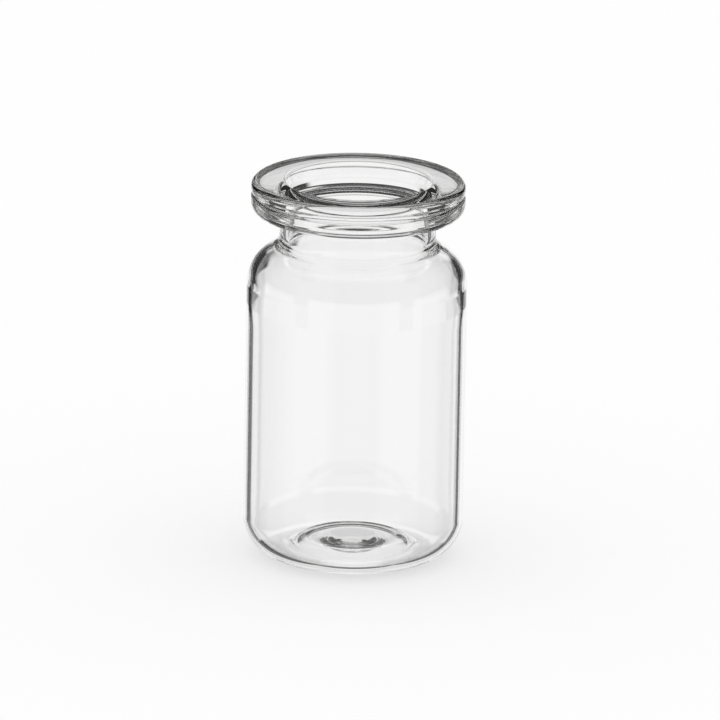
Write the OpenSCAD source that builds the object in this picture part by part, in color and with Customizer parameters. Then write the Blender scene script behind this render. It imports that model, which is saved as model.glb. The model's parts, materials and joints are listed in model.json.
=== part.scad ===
// Clear glass sample vial with a 20 mm crimp flange, drawn from tube and empty.
// One piece of glass: a straight body, a rounded heel over a pushed-up base,
// a round shoulder, a narrow neck and a thick flange round the mouth.
// Millimetres, Z up, standing on its base with the axis of the vial on Z.

/* [Body] */
// Outside diameter of the straight tube
body_d = 20.6; // [20:0.1:26]
// Thickness of the tube wall
body_wall = 0.65; // [0.5:0.05:1.1]
// Height of the whole vial, base to sealing face
total_h = 36.3; // [30:0.1:60]
// Outside radius of the heel, where the tube turns into the base
heel_r = 3.7; // [2.6:0.1:4.2]

/* [Base] */
// Thickness of the glass over the ring that the vial stands on
base_wall = 0.65; // [0.5:0.05:0.9]
// Width of the flat ring that the vial stands on
stand_w = 0.5; // [0.3:0.1:0.8]
// Diameter of the highest ring of the pushed-up underside
under_d = 7.8; // [7:0.1:9]
// Height of that ring above the table
under_h = 1.1; // [0.7:0.05:1.15]
// Diameter of the flat spot at the end of the nub that hangs inside that ring
nub_d = 0.6; // [0.2:0.2:3]
// Height of the nub's end above the table
nub_h = 0.2; // [0.1:0.05:0.5]
// Diameter of the highest ring of the raised floor inside
floor_d = 8.4; // [7.6:0.1:9.6]
// Height of that ring above the table
floor_h = 1.7; // [1.6:0.05:2.1]
// Diameter of the flat middle of the floor
middle_d = 4; // [3:0.1:5]
// How far the flat middle lies below the floor's highest ring
middle_dip = 0.1; // [0.05:0.05:0.3]

/* [Shoulder] */
// Height from the top of the straight tube up to the sealing face
shoulder_drop = 10; // [9.8:0.1:11]
// Outside radius of the shoulder's round
shoulder_r = 3.85; // [3.4:0.05:4.2]
// Lean of the shoulder's slope, from upright
shoulder_lean = 60; // [54:1:66]
// Outside radius of the hollow where the shoulder meets the neck
root_r = 1.2; // [0.8:0.1:1.6]
// Radius of the round where the bore opens into the shoulder
root_in_r = 0.9; // [0.6:0.1:2]
// Height over which the tube's wall thickens below the shoulder
thicken_h = 2; // [1:0.5:4]

/* [Neck] */
// Outside diameter of the neck
neck_d = 14.6; // [14.2:0.1:15.2]
// Diameter of the bore that takes the stopper
bore_d = 13; // [12.4:0.1:13.2]

/* [Flange] */
// Outside diameter of the flange
flange_d = 20; // [19.4:0.1:20.2]
// Thickness of the flange, from the lowest line of its lower round to the sealing face
flange_h = 3.2; // [3.1:0.05:3.8]
// Radius of the flange's top outer edge
flange_top_r = 0.6; // [0.3:0.05:0.7]
// Radius of the flange's lower outer edge
flange_low_r = 1.1; // [0.6:0.05:1.2]
// Rise of the underside outwards, in degrees
under_slope = 6; // [2:1:10]
// Radius of the fillet between the neck and the underside
under_r = 0.25; // [0.2:0.05:0.8]
// Depth of the shallow groove round the side of the flange
groove_depth = 0.15; // [0.05:0.05:0.2]
// Radius of that groove's section
groove_r = 0.5; // [0.3:0.05:0.5]
// Height of the groove's middle above the lower round's lowest line
groove_up = 2; // [1.85:0.05:2]
// Diameter of the mouth where it has flared out to the sealing face
mouth_d = 13.6; // [13.4:0.1:14.4]
// Radius of the round at the edge of the mouth
mouth_r = 0.3; // [0.1:0.05:0.4]
// Height of the flare
flare_h = 1.4; // [1:0.1:3]

/* [Hidden] */
$fn = 96;
body_r = body_d / 2;
tube_bore_r = body_r - body_wall;
neck_r = neck_d / 2;
bore_r = bore_d / 2;
neck_wall = neck_r - bore_r;
flange_r = flange_d / 2;
stand_r = body_r - heel_r;
tube_top = total_h - shoulder_drop;
flange_z = total_h - flange_h;
flare_z = total_h - flare_h;

// Lean of the middle of a step that runs `run` across and rises `rise`
function step_lean(run, rise) = 2 * atan(rise / run);

// A filled section from the axis out to r, between two heights.
module slab(r, low, high) {
    translate([0, low]) square([r, high - low]);
}

// The shoulder as a filled section: a round on top of the tube, a slope, and a hollow
// that turns the slope up into a neck of radius `narrow`.
module shoulder(round_r, narrow, hollow_r) {
    middle_r = body_r - shoulder_r;
    across = cos(shoulder_lean);
    up = sin(shoulder_lean);
    low_r = middle_r + round_r * across;
    low_z = tube_top + round_r * up;
    high_r = narrow + hollow_r * (1 - across);
    high_z = low_z + (low_r - high_r) / tan(shoulder_lean);
    root_z = high_z + hollow_r * up;
    difference() {
        union() {
            translate([middle_r, tube_top]) circle(round_r);
            polygon([
                [0, tube_top],
                [middle_r + round_r, tube_top],
                [low_r, low_z],
                [high_r, high_z],
                [narrow, root_z],
                [narrow, flange_z],
                [0, flange_z]
            ]);
        }
        translate([narrow + hollow_r, root_z]) circle(hollow_r);
    }
}

// Everything inside the outside surface, without the flange and the base.
module outside() {
    slab(body_r, heel_r, tube_top);
    slab(stand_r, 0, heel_r);
    translate([stand_r, heel_r]) circle(heel_r);
    shoulder(shoulder_r, neck_r, root_r);
}

// The flange: a rounded lower bead over a sloping underside, and an upper bead above a
// shallow groove.
module flange() {
    low_r = flange_r - flange_low_r;
    low_z = flange_z + flange_low_r;
    top_r = flange_r - flange_top_r;
    top_z = total_h - flange_top_r;
    groove_z = flange_z + groove_up;
    // The underside leaves the lower round here and comes down to the fillet on the neck.
    under_x = low_r + flange_low_r * sin(under_slope);
    under_z = low_z - flange_low_r * cos(under_slope);
    fillet_x = neck_r + under_r;
    fillet_z = under_z - (under_x - fillet_x) * tan(under_slope) - under_r / cos(under_slope);
    edge = [fillet_x - under_r * sin(under_slope), fillet_z + under_r * cos(under_slope)];
    difference() {
        union() {
            slab(flange_r, low_z, top_z);
            slab(top_r, low_z, total_h);
            translate([low_r, low_z]) circle(flange_low_r);
            translate([top_r, top_z]) circle(flange_top_r);
            polygon([
                [0, fillet_z],
                [neck_r, fillet_z],
                edge,
                [under_x, under_z],
                [low_r, low_z],
                [0, low_z]
            ]);
        }
        translate([fillet_x, fillet_z]) circle(under_r);
        translate([flange_r + groove_r - groove_depth, groove_z]) circle(groove_r);
    }
}

// The space inside the vial, with the flared mouth.
module cavity() {
    inner_heel = heel_r - body_wall;
    floor_z = base_wall;
    mouth = mouth_d / 2;
    thin_top = tube_top - thicken_h;
    slab(tube_bore_r, floor_z + inner_heel, thin_top);
    slab(tube_bore_r - inner_heel, floor_z, floor_z + inner_heel);
    translate([tube_bore_r - inner_heel, floor_z + inner_heel]) circle(inner_heel);
    polygon([[0, thin_top], [tube_bore_r, thin_top], [body_r - neck_wall, tube_top], [0, tube_top]]);
    shoulder(shoulder_r - neck_wall, bore_r, root_in_r);
    slab(bore_r, flange_z, flare_z);
    polygon([[0, flare_z], [bore_r, flare_z], [mouth, total_h - mouth_r], [0, total_h - mouth_r]]);
    difference() {
        slab(mouth + mouth_r, total_h - mouth_r, total_h + mouth_r);
        translate([mouth + mouth_r, total_h - mouth_r]) circle(mouth_r);
    }
}

// Everything under a raised floor, out to its level rim, as a filled section. The floor
// climbs from the rim to a crest ring and dips again to a flat middle. Each step is two
// equal arcs, level at both ends. Places are given as [radius, height].
module raised(rim, crest, middle) {
    outer = rim - crest;
    inner = crest - middle;
    outer_arc = outer.x / (2 * sin(step_lean(outer.x, -outer.y)));
    inner_arc = inner.x / (2 * sin(step_lean(inner.x, inner.y)));
    below = rim.y - 1;
    difference() {
        union() {
            polygon([
                [0, below],
                [rim.x, below],
                rim,
                (rim + crest) / 2,
                crest,
                (crest + middle) / 2,
                middle,
                [0, middle.y]
            ]);
            intersection() {
                translate([crest.x, crest.y - outer_arc]) circle(outer_arc);
                translate([crest.x, below]) square([outer.x, crest.y - below]);
            }
            intersection() {
                translate([crest.x, crest.y - inner_arc]) circle(inner_arc);
                translate([middle.x, below]) square([inner.x, crest.y - below]);
            }
        }
        translate([rim.x, rim.y + outer_arc]) circle(outer_arc);
        translate([middle.x, middle.y + inner_arc]) circle(inner_arc);
    }
}

module glass_vial() {
    color([0.86, 0.9, 0.9, 0.35])
    rotate_extrude() {
        difference() {
            union() {
                outside();
                flange();
            }
            difference() {
                cavity();
                raised([stand_r, base_wall], [floor_d / 2, floor_h], [middle_d / 2, floor_h - middle_dip]);
            }
            raised([stand_r - stand_w, 0], [under_d / 2, under_h], [nub_d / 2, nub_h]);
        }
    }
}

glass_vial();
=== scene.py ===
import json
import math

import bmesh
import bpy
from mathutils import Matrix, Vector

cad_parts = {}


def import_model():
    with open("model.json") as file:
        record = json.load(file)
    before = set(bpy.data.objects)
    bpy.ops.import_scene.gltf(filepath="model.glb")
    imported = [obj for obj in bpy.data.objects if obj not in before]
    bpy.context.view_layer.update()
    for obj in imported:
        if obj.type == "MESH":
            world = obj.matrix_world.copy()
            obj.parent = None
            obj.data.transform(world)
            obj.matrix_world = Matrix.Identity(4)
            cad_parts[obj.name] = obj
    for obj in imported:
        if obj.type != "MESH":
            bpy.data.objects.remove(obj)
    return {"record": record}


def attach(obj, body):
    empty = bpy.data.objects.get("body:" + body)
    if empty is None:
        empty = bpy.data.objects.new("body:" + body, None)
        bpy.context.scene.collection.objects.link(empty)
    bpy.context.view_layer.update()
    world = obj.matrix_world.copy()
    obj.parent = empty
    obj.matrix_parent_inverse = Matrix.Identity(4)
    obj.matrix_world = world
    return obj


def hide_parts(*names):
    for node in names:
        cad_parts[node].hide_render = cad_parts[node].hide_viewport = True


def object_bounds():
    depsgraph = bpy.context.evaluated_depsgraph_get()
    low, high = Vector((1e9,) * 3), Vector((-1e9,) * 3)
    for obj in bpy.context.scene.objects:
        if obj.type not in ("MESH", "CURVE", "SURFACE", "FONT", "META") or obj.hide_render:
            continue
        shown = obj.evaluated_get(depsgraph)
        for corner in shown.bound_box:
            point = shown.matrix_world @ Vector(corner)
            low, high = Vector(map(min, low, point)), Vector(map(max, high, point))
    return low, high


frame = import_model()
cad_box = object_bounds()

MM = 0.001
MOUNTS = {m["name"]: m for m in frame["record"]["mounts"]}
LOW, HIGH = (Vector(corner) for corner in cad_box)

# Sizes of the glass in millimetres, the driving ones from the frame.
TOTAL_H = HIGH.z / MM
BODY_R = HIGH.x / MM
FLANGE_R = MOUNTS["crimp_flange"]["dims"]["r_mm"]
BORE_R = MOUNTS["stopper_bore"]["dims"]["r_mm"]
BODY_WALL = 0.65
NECK_WALL = 0.8
BASE_WALL = 0.65
HEEL_R = 3.7
# Width of the flat ring that the vial stands on.
STAND_W = 0.5
# Radius and height of the highest ring of the underside, and of the end of the nub inside it.
UNDER_CREST = (3.9, 1.1)
NUB = (0.3, 0.2)
# Radius and height of the highest ring of the floor inside, and of the floor's flat middle.
FLOOR_CREST = (4.2, 1.7)
FLOOR_MID = (2.0, 1.6)
# Height of the straight tube's top, and the height over which the wall thickens below it.
TUBE_TOP = 26.3
THICKEN_H = 2.0
# Radius of the shoulder's round outside, and how far its slope leans from upright.
SHOULDER_R = 3.85
SHOULDER_LEAN = math.radians(60)
# Radii of the hollow outside and the round inside, where the shoulder meets the neck.
ROOT_R = 1.2
ROOT_IN_R = 0.9
# The flange: its height, the fillet under it, its underside's slope and the rounds of its edges.
FLANGE_H = 3.2
UNDER_R = 0.25
UNDER_SLOPE = math.radians(6)
FLANGE_TOP_R = 0.6
FLANGE_LOW_R = 1.1
# The mouth: the round at its edge, its radius where it has flared out, and the flare's height.
MOUTH_R = 0.3
MOUTH_FLARE_R = 6.8
FLARE_H = 1.4
# The groove round the flange's side: its depth, its section's radius and its height on the flange.
GROOVE_DEPTH = 0.15
GROOVE_R = 0.5
GROOVE_UP = 2.0

# Steps round the vial, and the steps along its section on long, plain and fine stretches.
SEGMENTS = 250
LONG, PLAIN, FINE = 1.5, 0.3, 0.05
# Two points of the section that lie closer together than this are one point.
MERGE = 0.004
# Directions in the section, as angles from the side away from the axis.
RIGHT, UP, LEFT, DOWN = 0, math.pi / 2, math.pi, -math.pi / 2


class Outline:
    """Points of the glass's section, from the axis under the base round to the axis inside it."""

    def __init__(self, r, z):
        self.points = [(r, z)]

    def add(self, r, z):
        if math.dist(self.points[-1], (r, z)) > MERGE:
            self.points.append((r, z))

    def line(self, r, z, step=PLAIN):
        r0, z0 = self.points[-1]
        count = max(1, round(math.dist((r0, z0), (r, z)) / step))
        for i in range(1, count + 1):
            t = i / count
            self.add(r0 + (r - r0) * t, z0 + (z - z0) * t)

    def arc(self, r, z, radius, start, end, step=0.18):
        count = max(3, math.ceil(abs(end - start) * radius / step))
        for i in range(count + 1):
            a = start + (end - start) * i / count
            self.add(r + radius * math.cos(a), z + radius * math.sin(a))

    def swing(self, r, z, step=0.12):
        """Two equal arcs to a point, level at both ends."""
        r0, z0 = self.points[-1]
        across, rise = r - r0, z - z0
        lean = 2 * math.atan(abs(rise / across))
        radius = abs(across) / (2 * math.sin(lean))
        count = max(4, math.ceil(lean * radius / step))
        moves = []
        for i in range(1, count + 1):
            a = lean * i / count
            out = math.copysign(radius * math.sin(a), across)
            lift = math.copysign(radius * (1 - math.cos(a)), rise)
            moves.append((out, lift))
        for out, lift in moves:
            self.add(r0 + out, z0 + lift)
        for out, lift in reversed(moves[:-1]):
            self.add(r - out, z - lift)
        self.add(r, z)


def shoulder(round_r, neck_r, root_r):
    """Ends of a shoulder's slope and the middle of the root's arc, for one side of the glass."""
    across, rise = math.cos(SHOULDER_LEAN), math.sin(SHOULDER_LEAN)
    low_r = BODY_R - SHOULDER_R + round_r * across
    low_z = TUBE_TOP + round_r * rise
    high_r = neck_r + root_r * (1 - across)
    high_z = low_z + (low_r - high_r) / math.tan(SHOULDER_LEAN)
    return (low_r, low_z), (high_r, high_z), (neck_r + root_r, high_z + root_r * rise)


def add_underside(p):
    stand = BODY_R - HEEL_R
    p.line(*NUB)
    p.swing(*UNDER_CREST)
    p.swing(stand - STAND_W, 0)
    p.line(stand, 0)


def add_outside(p):
    neck_r = BORE_R + NECK_WALL
    _, high, root = shoulder(SHOULDER_R, neck_r, ROOT_R)
    p.arc(BODY_R - HEEL_R, HEEL_R, HEEL_R, DOWN, RIGHT)
    p.line(BODY_R, TUBE_TOP, LONG)
    p.arc(BODY_R - SHOULDER_R, TUBE_TOP, SHOULDER_R, RIGHT, SHOULDER_LEAN)
    p.line(*high, step=0.2)
    p.arc(*root, ROOT_R, LEFT + SHOULDER_LEAN, LEFT)


def add_flange(p):
    neck_r = BORE_R + NECK_WALL
    flange_z = TOTAL_H - FLANGE_H
    # The underside rises outwards from the fillet on the neck to the lower round.
    low_r = FLANGE_R - FLANGE_LOW_R
    low_z = flange_z + FLANGE_LOW_R
    under_r = low_r + FLANGE_LOW_R * math.sin(UNDER_SLOPE)
    under_z = low_z - FLANGE_LOW_R * math.cos(UNDER_SLOPE)
    fillet_r = neck_r + UNDER_R
    fillet_z = under_z - (under_r - fillet_r) * math.tan(UNDER_SLOPE) - UNDER_R / math.cos(UNDER_SLOPE)
    p.line(neck_r, fillet_z)
    p.arc(fillet_r, fillet_z, UNDER_R, LEFT, UP + UNDER_SLOPE, step=0.08)
    p.line(under_r, under_z)
    p.arc(low_r, low_z, FLANGE_LOW_R, DOWN + UNDER_SLOPE, RIGHT, step=0.06)
    # The groove round the side.
    bite = math.acos((GROOVE_R - GROOVE_DEPTH) / GROOVE_R)
    groove_z = flange_z + GROOVE_UP
    p.line(FLANGE_R, groove_z - GROOVE_R * math.sin(bite), step=0.08)
    p.arc(FLANGE_R + GROOVE_R - GROOVE_DEPTH, groove_z, GROOVE_R, LEFT + bite, LEFT - bite, FINE)
    p.line(FLANGE_R, TOTAL_H - FLANGE_TOP_R, step=0.1)
    p.arc(FLANGE_R - FLANGE_TOP_R, TOTAL_H - FLANGE_TOP_R, FLANGE_TOP_R, RIGHT, UP, FINE)


def add_inside(p):
    mouth_r = MOUTH_FLARE_R + MOUTH_R
    p.line(mouth_r, TOTAL_H)
    p.arc(mouth_r, TOTAL_H - MOUTH_R, MOUTH_R, UP, LEFT, FINE)
    p.line(BORE_R, TOTAL_H - FLARE_H)
    round_r = SHOULDER_R - NECK_WALL
    low, _, root = shoulder(round_r, BORE_R, ROOT_IN_R)
    p.line(BORE_R, root[1], step=0.4)
    p.arc(*root, ROOT_IN_R, LEFT, LEFT + SHOULDER_LEAN, step=0.1)
    p.line(*low, step=0.2)
    p.arc(BODY_R - SHOULDER_R, TUBE_TOP, round_r, SHOULDER_LEAN, RIGHT)
    bore = BODY_R - BODY_WALL
    heel = HEEL_R - BODY_WALL
    p.line(bore, TUBE_TOP - THICKEN_H, step=0.4)
    p.line(bore, BASE_WALL + heel, LONG)
    p.arc(bore - heel, BASE_WALL + heel, heel, RIGHT, DOWN)
    p.swing(*FLOOR_CREST)
    p.swing(*FLOOR_MID)
    p.line(0, FLOOR_MID[1])


def section():
    p = Outline(0, NUB[1])
    add_underside(p)
    add_outside(p)
    add_flange(p)
    add_inside(p)
    return p.points


def glass_body():
    surface = bmesh.new()
    rings = []
    for r, z in section():
        # The section starts and ends on the axis, where a ring is a single point.
        if r < MERGE:
            rings.append([surface.verts.new((0, 0, z * MM))])
            continue
        ring = []
        for i in range(SEGMENTS):
            angle = 2 * math.pi * i / SEGMENTS
            ring.append(surface.verts.new((r * math.cos(angle) * MM, r * math.sin(angle) * MM, z * MM)))
        rings.append(ring)
    for below, above in zip(rings, rings[1:]):
        for i in range(SEGMENTS):
            after = (i + 1) % SEGMENTS
            if len(below) == 1:
                surface.faces.new((below[0], above[after], above[i]))
            elif len(above) == 1:
                surface.faces.new((below[i], below[after], above[0]))
            else:
                surface.faces.new((below[i], below[after], above[after], above[i]))
    bmesh.ops.recalc_face_normals(surface, faces=surface.faces)
    mesh = bpy.data.meshes.new("vial_glass")
    surface.to_mesh(mesh)
    surface.free()
    for face in mesh.polygons:
        face.use_smooth = True
    body = bpy.data.objects.new("vial_glass", mesh)
    bpy.context.scene.collection.objects.link(body)
    return body


# The colour that light keeps on its way through the glass, a faint yellow-green, and how much of
# the other light is lost, per metre.
TINT = (0.55, 0.6, 0.3)
TINT_DENSITY = 3.0


class Nodes:
    """Short calls for building a shader's nodes."""

    def __init__(self, tree):
        self.tree = tree
        tree.nodes.clear()

    def new(self, kind, *inputs, **values):
        node = self.tree.nodes.new("ShaderNode" + kind)
        for name, value in values.items():
            setattr(node, name, value)
        for socket, value in zip(node.inputs, inputs):
            self.put(value, socket)
        return node

    def put(self, value, socket):
        if isinstance(value, bpy.types.NodeSocket):
            self.tree.links.new(value, socket)
        else:
            socket.default_value = value

    def math(self, operation, *inputs):
        return self.new("Math", *inputs, operation=operation).outputs[0]

    def ramp(self, value, low, high):
        """A soft step from 0 to 1 as the value goes from low to high."""
        node = self.new("MapRange", interpolation_type="SMOOTHSTEP")
        for name, entry in (("Value", value), ("From Min", low), ("From Max", high)):
            self.put(entry, node.inputs[name])
        return node.outputs[0]

    def blend(self, share, first, second):
        """A brightness that goes from the first to the second as share goes from 0 to 1."""
        return self.math("MULTIPLY_ADD", share, self.math("SUBTRACT", second, first), first)


def glass_material():
    material = bpy.data.materials.new("clear_glass")
    material.use_nodes = True
    nodes = Nodes(material.node_tree)
    out = nodes.new("OutputMaterial")
    glass = nodes.new("BsdfPrincipled")
    glass.inputs["Base Color"].default_value = (1, 1, 1, 1)
    glass.inputs["Roughness"].default_value = 0
    glass.inputs["IOR"].default_value = 1.5
    glass.inputs["Transmission Weight"].default_value = 1
    tint = nodes.new("VolumeAbsorption")
    tint.inputs["Color"].default_value = (*TINT, 1)
    tint.inputs["Density"].default_value = TINT_DENSITY
    nodes.put(glass.outputs[0], out.inputs["Surface"])
    nodes.put(tint.outputs[0], out.inputs["Volume"])
    return material


# The studio round the vial, in bands from straight down to straight up. Each band has the
# elevation at which it ends, and its parts, each with the heading at which it ends and how bright
# it is. Headings are counted to both sides from the middle of the backdrop behind the vial. All are
# in degrees. Pale behind the vial and straight below it, with a dark strip at each side of the
# backdrop that draws the tube's edges, and a dark strip over the horizon that draws the shoulder
# and the mouth.
BANDS = [
    (-72, [(180, 0.85)]),
    (-60, [(90, 0.1), (180, 0.02)]),
    (-32, [(26, 0.8), (180, 0.08)]),
    (-10, [(26, 0.93), (39, 0.03), (56, 0.8), (76, 0.5), (104, 0.7), (152, 0.9), (180, 0.7)]),
    (3, [(12, 0.95), (66, 0.03), (114, 0.95), (130, 0.1), (180, 0.9)]),
    (10, [(66, 0.04), (114, 0.6), (130, 0.1), (180, 0.7)]),
    (28, [(8, 0.1), (22, 0.85), (180, 0.05)]),
    (58, [(20, 1.0), (180, 0.05)]),
    (90, [(90, 0.5), (180, 0.05)]),
]
# How far the backdrop's middle is turned from straight behind the vial.
BACKDROP_TURN = -3.0
# Degrees over which one part fades into the next, and one band into the next.
PART_FADE = 2
BAND_FADE = 1.5


def band_light(nodes, away, parts):
    """A band's brightness at a heading counted from the middle of the backdrop."""
    ramp = nodes.new("ValToRGB", nodes.math("DIVIDE", away, 180.0))
    marks = ramp.color_ramp.elements
    start = 0
    for end, level in parts:
        for place in (start + PART_FADE / 2, end - PART_FADE / 2):
            mark = marks.new(place / 180)
            mark.color = (level, level, level, 1)
        start = end
    # The two marks that every new ramp comes with lie at its ends.
    marks.remove(marks[0])
    marks.remove(marks[-1])
    return ramp.outputs["Color"]


def world():
    studio = bpy.data.worlds.new("studio")
    bpy.context.scene.world = studio
    studio.use_nodes = True
    nodes = Nodes(studio.node_tree)
    way = nodes.new("TexCoord").outputs["Generated"]
    x, y, z = nodes.new("SeparateXYZ", way).outputs
    heading = nodes.math("DEGREES", nodes.math("ARCTAN2", nodes.math("MULTIPLY", x, -1.0), y))
    turned = nodes.math("SUBTRACT", heading, BACKDROP_TURN)
    away = nodes.math("ABSOLUTE", nodes.math("WRAP", turned, 180.0, -180.0))
    rise = nodes.math("DEGREES", nodes.math("ARCSINE", z))
    light = band_light(nodes, away, BANDS[0][1])
    for (edge, _), (_, parts) in zip(BANDS, BANDS[1:]):
        share = nodes.ramp(rise, edge - BAND_FADE / 2, edge + BAND_FADE / 2)
        light = nodes.blend(share, light, band_light(nodes, away, parts))
    seen = nodes.new("Background", light, 1.0).outputs[0]
    white = nodes.new("Background", (1, 1, 1, 1), 1.0).outputs[0]
    # The camera and the floor see a plain white room, and only the glass sees the bands.
    ray = nodes.new("LightPath").outputs
    plain = nodes.math("MAXIMUM", ray["Is Camera Ray"], ray["Is Diffuse Ray"])
    nodes.new("OutputWorld", nodes.new("MixShader", plain, seen, white).outputs[0])


# Half the side of the floor in metres, the part of light that it sends back, and its own glow.
FLOOR_HALF = 3.0
FLOOR_GREY = 0.35
FLOOR_GLOW = 0.65


def floor():
    mesh = bpy.data.meshes.new("floor")
    side = FLOOR_HALF
    corners = [(-side, -side, 0), (side, -side, 0), (side, side, 0), (-side, side, 0)]
    mesh.from_pydata(corners, [], [(0, 1, 2, 3)])
    ob = bpy.data.objects.new("floor", mesh)
    bpy.context.scene.collection.objects.link(ob)
    material = bpy.data.materials.new("floor")
    material.use_nodes = True
    nodes = Nodes(material.node_tree)
    lit = nodes.new("BsdfDiffuse", (FLOOR_GREY, FLOOR_GREY, FLOOR_GREY, 1)).outputs[0]
    glow = nodes.new("Emission", (1, 1, 1, 1), FLOOR_GLOW).outputs[0]
    pale = nodes.new("AddShader", lit, glow).outputs[0]
    clear = nodes.new("BsdfTransparent").outputs[0]
    # The glass neither mirrors the floor nor shows it through itself.
    ray = nodes.new("LightPath").outputs
    seen = nodes.math("MAXIMUM", ray["Is Transmission Ray"], ray["Is Glossy Ray"])
    nodes.new("OutputMaterial", nodes.new("MixShader", seen, pale, clear).outputs[0])
    mesh.materials.append(material)


# The camera stands a metre off and looks down on the vial, slightly rolled.
ELEVATION = math.radians(16.5)
ROLL = math.radians(0.98)
DISTANCE = 1.0
# Focal length and width of the sensor, in millimetres.
LENS = 534
SENSOR_WIDTH = 36
# How far the vial stands from the middle of the picture, in millimetres across and up.
ASIDE, ABOVE = -0.41, -0.62


def camera():
    data = bpy.data.cameras.new("camera")
    cam = bpy.data.objects.new("camera", data)
    bpy.context.scene.collection.objects.link(cam)
    bpy.context.scene.camera = cam
    middle = (LOW + HIGH) / 2
    back = Vector((0, -math.cos(ELEVATION), math.sin(ELEVATION)))
    right = Vector((1, 0, 0))
    up = right.cross(-back)
    target = middle - right * ASIDE * MM - up * ABOVE * MM
    data.sensor_width = SENSOR_WIDTH
    data.lens = LENS
    data.clip_start = 0.1
    data.clip_end = 20
    aim = (-back).to_track_quat("-Z", "Y").to_matrix().to_4x4()
    rolled = Matrix.Rotation(ROLL, 4, back) @ aim
    cam.matrix_world = Matrix.Translation(target + back * DISTANCE) @ rolled


# Light turns many times inside the flange before it comes out.
BOUNCES = 32

scene = bpy.context.scene
scene.view_settings.view_transform = "Standard"
scene.cycles.max_bounces = BOUNCES
scene.cycles.glossy_bounces = BOUNCES
scene.cycles.transmission_bounces = BOUNCES
camera()
world()
floor()
vial = glass_body()
vial.data.materials.append(glass_material())
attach(vial, "root")
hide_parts("glass_vial")
